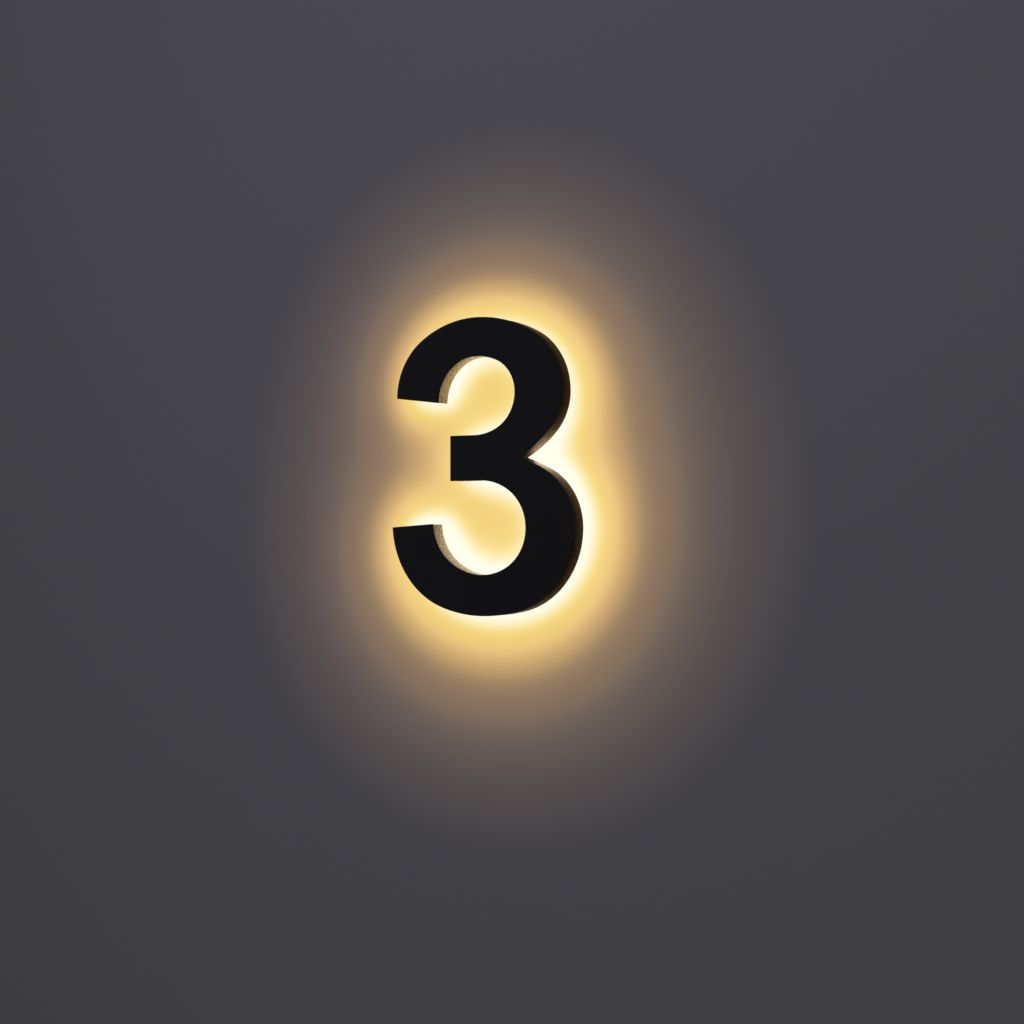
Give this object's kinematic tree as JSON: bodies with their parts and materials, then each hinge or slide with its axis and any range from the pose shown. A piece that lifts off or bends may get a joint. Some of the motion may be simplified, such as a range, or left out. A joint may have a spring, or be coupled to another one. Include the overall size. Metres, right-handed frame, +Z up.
{
  "type": "illuminated house number sign",
  "caption": "Halo-lit stand-off house number 3: fabricated metal shell with opal back panel and light modules that throw a warm halo on the wall.",
  "frame": {"origin": "centre of the four-stud rectangle, on the wall face", "axes": "+X to the right and +Z up as seen from the street, +Y into the wall, so the lit numeral's face looks along -Y"},
  "size_m": [0.2896, 0.079, 0.4],
  "materials": {
    "black_face": "smooth matte black powder coat",
    "coated_return": "fine-textured dark bronze powder coat",
    "opal_panel": "opal polycarbonate sheet, lit from behind by the modules",
    "bare_metal": "pickled stainless sheet",
    "stainless": "plain stainless fasteners",
    "black_rubber": "matte moulded rubber",
    "spacer_nylon": "black nylon tube",
    "white_moulding": "white moulded plastic",
    "clear_lens": "clear moulded lens over a warm white diode",
    "foam_tape": "grey foam adhesive tape",
    "brass_clamp": "plain brass",
    "red_insulation": "soft insulation",
    "black_insulation": "soft insulation"
  },
  "bodies": {
    "root": {"face_plate": "black_face", "return_outer": "coated_return", "return_inner": "coated_return", "back_panel": "opal_panel", "panel_lugs": "bare_metal", "panel_screws": "stainless", "wall_studs": "stainless", "wall_bosses": "bare_metal", "backing_washers": "stainless", "sealing_washers": "black_rubber", "black_feeds": "black_insulation", "black_jumpers": "black_insulation", "cable_grommet": "black_rubber", "led_lenses": "clear_lens", "led_module_01": "white_moulding", "led_module_02": "white_moulding", "led_module_03": "white_moulding", "led_module_04": "white_moulding", "led_module_05": "white_moulding", "led_module_06": "white_moulding", "led_module_07": "white_moulding", "led_module_08": "white_moulding", "led_module_09": "white_moulding", "led_module_10": "white_moulding", "led_module_11": "white_moulding", "led_module_12": "white_moulding", "led_module_13": "white_moulding", "led_module_14": "white_moulding", "led_module_15": "white_moulding", "led_module_16": "white_moulding", "module_tapes": "foam_tape", "red_feeds": "red_insulation", "red_jumpers": "red_insulation", "spacer_lower_left": "spacer_nylon", "spacer_lower_right": "spacer_nylon", "spacer_upper_left": "spacer_nylon", "spacer_upper_right": "spacer_nylon", "terminal_block": "white_moulding", "terminal_clamps": "brass_clamp", "terminal_screws": "stainless"}
  },
  "joints": []
}
